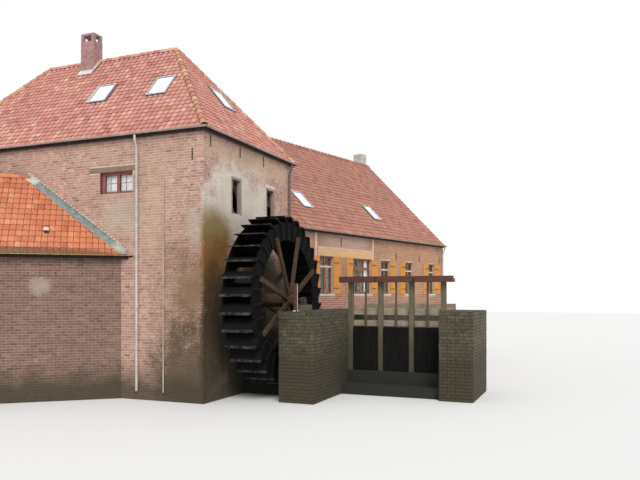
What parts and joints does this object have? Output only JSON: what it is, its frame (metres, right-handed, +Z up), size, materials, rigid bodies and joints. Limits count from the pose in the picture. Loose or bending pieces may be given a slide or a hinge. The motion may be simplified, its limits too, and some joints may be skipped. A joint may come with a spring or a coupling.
{
  "type": "watermill",
  "caption": "Brick watermill: a tall hipped block with a long wing, a tiled annex, a side wheel that turns in bearings beside a pier, and a bridge of sluice gates.",
  "frame": {"origin": "foot of the mill block's corner beside the wheel, at tail-water level", "axes": "+X out of the wheel wall, along the wheel's axle; +Y back along the wheel wall, upstream; +Z up"},
  "size_m": [21.7903, 28.4992, 14.4998],
  "materials": {
    "brick": "weathered brick",
    "floor": "boarded",
    "tile": "matt clay",
    "orange_tile": "matt clay",
    "zinc": "dull",
    "red_frame": "painted",
    "glass": "clear",
    "lintel": "stained",
    "sill": "smooth",
    "shutter": "stained",
    "window_trim": "satin",
    "iron": "rusty",
    "masonry": "mossy stone",
    "oak": "weathered",
    "flower_box": "painted",
    "wet_oak": "wet and black"
  },
  "bodies": {
    "mill": {"mill_front_wall": "brick", "mill_wheel_wall": "brick", "mill_back_wall": "brick", "mill_end_wall": "brick", "mill_floors": "floor", "mill_roof_front": "tile", "mill_roof_wheel_end": "tile", "mill_roof_back": "tile", "mill_roof_far_end": "tile", "mill_ridge_tiles": "tile", "mill_chimney": "brick", "wing_front_wall": "brick", "wing_back_wall": "brick", "wing_gable_wall": "brick", "wing_floor": "floor", "wing_roof_front": "tile", "wing_roof_back": "tile", "wing_ridge_tiles": "tile", "wing_chimney": "brick", "annex_front_wall": "brick", "annex_back_wall": "brick", "annex_gable_wall": "brick", "annex_roof_front": "orange_tile", "annex_roof_back": "orange_tile", "annex_ridge_tiles": "orange_tile", "annex_flashing": "zinc", "window_frames": "red_frame", "window_glass": "glass", "lintels": "lintel", "window_sills": "sill", "shutters": "shutter", "skylight_frames": "window_trim", "skylight_glass": "glass", "gutters": "zinc", "downpipes": "zinc", "wall_anchors": "iron", "mid_pier": "masonry", "wheel_breast": "masonry", "weir_apron": "masonry", "right_abutment": "masonry", "pier_guard": "oak", "sluice_posts": "oak", "sluice_beams": "oak", "sluice_deck": "oak", "deck_kerb": "oak", "headstock": "oak", "flower_boxes": "flower_box", "bearings": "iron", "bearing_timbers": "oak"},
    "wheel": {"wheel_rims": "wet_oak", "wheel_arms": "wet_oak", "wheel_buckets": "wet_oak", "wheel_sole": "wet_oak", "axle": "wet_oak", "axle_flanges": "iron", "gudgeons": "iron"},
    "gate_1": {"gate_1": "wet_oak"},
    "gate_2": {"gate_2": "wet_oak"},
    "gate_3": {"gate_3": "wet_oak"}
  },
  "joints": [
    {"name": "wheel_spin", "type": "hinge", "parent": "mill", "child": "wheel", "pos_m": [1.28, 2.75, 3.43], "axis": [-1, 0, 0], "continuous": true},
    {"name": "gate_1_lift", "type": "slide", "parent": "mill", "child": "gate_1", "axis": [0, 0, 1], "range_m": [0, 0.6]},
    {"name": "gate_2_lift", "type": "slide", "parent": "mill", "child": "gate_2", "axis": [0, 0, 1], "range_m": [0, 0.6]},
    {"name": "gate_3_lift", "type": "slide", "parent": "mill", "child": "gate_3", "axis": [0, 0, 1], "range_m": [0, 0.6]}
  ]
}
